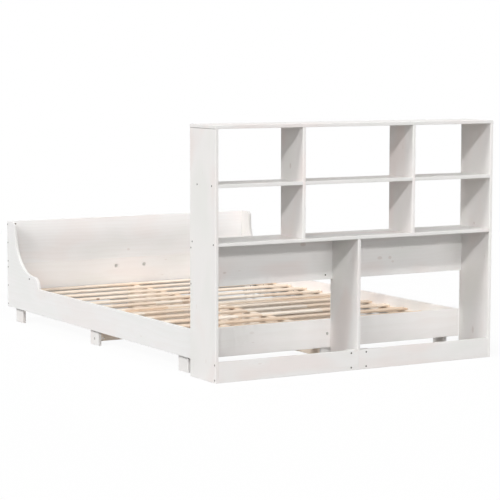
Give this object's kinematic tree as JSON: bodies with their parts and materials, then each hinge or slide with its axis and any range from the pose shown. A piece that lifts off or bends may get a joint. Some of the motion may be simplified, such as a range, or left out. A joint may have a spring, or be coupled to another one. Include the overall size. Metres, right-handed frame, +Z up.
{
  "type": "bed frame",
  "caption": "Double bed frame in white painted pine with an open bookcase across one end, a low panel between swept wings at the other, and natural pine slats.",
  "frame": {"origin": "on the floor, under the middle of the whole bed", "axes": "+X across the bed, +Y along it from the bookcase towards the winged end, +Z up"},
  "size_m": [1.465, 2.285, 1.1],
  "materials": {
    "white_painted_pine": "thin satin white paint over pine, with the grain and knots faintly showing",
    "natural_pine": "planed natural pine, finger-jointed",
    "dark_steel": "dark zinc-plated steel",
    "bright_zinc": "bright zinc-plated steel"
  },
  "bodies": {
    "root": {"side_panel_left": "white_painted_pine", "side_panel_right": "white_painted_pine", "top_board": "white_painted_pine", "low_shelf": "white_painted_pine", "middle_shelf": "white_painted_pine", "divider_left": "white_painted_pine", "divider_right": "white_painted_pine", "centre_divider": "white_painted_pine", "back_board_left": "white_painted_pine", "back_board_right": "white_painted_pine", "back_board_plate": "white_painted_pine", "kick_board_left": "white_painted_pine", "kick_board_right": "white_painted_pine", "kick_board_plate": "white_painted_pine", "side_rail_left": "white_painted_pine", "side_rail_right": "white_painted_pine", "near_end_rail": "white_painted_pine", "end_board_lower": "white_painted_pine", "end_board_upper": "white_painted_pine", "leg_near_left": "white_painted_pine", "leg_near_right": "white_painted_pine", "leg_middle_left": "white_painted_pine", "leg_middle_right": "white_painted_pine", "leg_far_left": "white_painted_pine", "leg_far_right": "white_painted_pine", "leg_near_centre": "white_painted_pine", "leg_far_centre": "white_painted_pine", "centre_beam": "natural_pine", "cross_beam": "natural_pine", "ledger_left": "natural_pine", "ledger_right": "natural_pine", "slat_01": "natural_pine", "slat_02": "natural_pine", "slat_03": "natural_pine", "slat_04": "natural_pine", "slat_05": "natural_pine", "slat_06": "natural_pine", "slat_07": "natural_pine", "slat_08": "natural_pine", "slat_09": "natural_pine", "slat_10": "natural_pine", "slat_11": "natural_pine", "slat_12": "natural_pine", "slat_13": "natural_pine", "divider_dowels": "natural_pine", "side_panel_screws": "dark_steel", "top_board_screws": "dark_steel", "low_shelf_screws": "dark_steel", "plate_screws": "dark_steel", "near_rail_screws": "dark_steel", "end_board_screws": "dark_steel", "leg_screws": "dark_steel", "ledger_screws": "dark_steel", "slat_screws": "dark_steel", "centre_beam_screws": "dark_steel", "beam_bolts": "bright_zinc", "barrel_nuts": "bright_zinc", "leg_bolts": "bright_zinc", "leg_nuts": "bright_zinc"}
  },
  "joints": []
}
